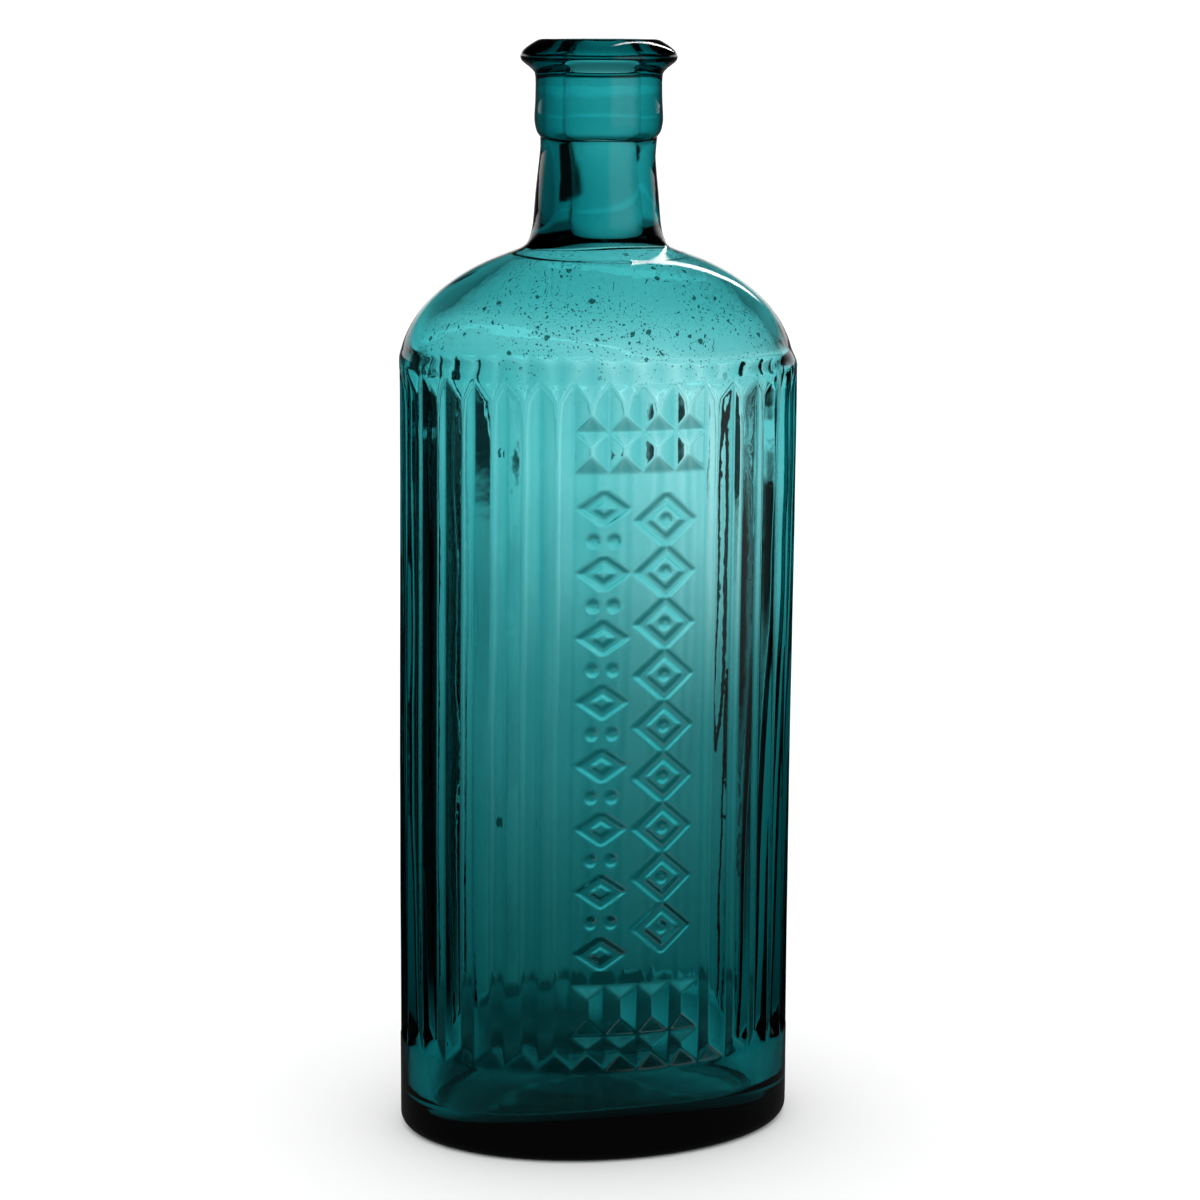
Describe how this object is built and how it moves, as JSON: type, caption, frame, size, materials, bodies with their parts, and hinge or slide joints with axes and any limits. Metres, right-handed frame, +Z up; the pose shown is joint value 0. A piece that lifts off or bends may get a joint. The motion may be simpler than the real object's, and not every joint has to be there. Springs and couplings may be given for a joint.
{
  "type": "glass bottle",
  "caption": "Oval blown glass bottle with vertical flutes, a plain front panel, a domed shoulder, a round neck and an applied lip, for holding a liquid under a cork.",
  "frame": {"origin": "centre of the oval on the resting plane under the base", "axes": "+Z up through the mouth, -Y out of the front panel, X along the oval's width"},
  "size_m": [0.0844, 0.066, 0.23],
  "materials": {
    "bottle_glass": "clear teal glass, gloss, with seeds, faint waves and light inside staining",
    "lip_glass": "clear teal glass, fire polished, with tooling waves"
  },
  "bodies": {
    "root": {"bottle_body": "bottle_glass", "applied_lip": "lip_glass"}
  },
  "joints": []
}
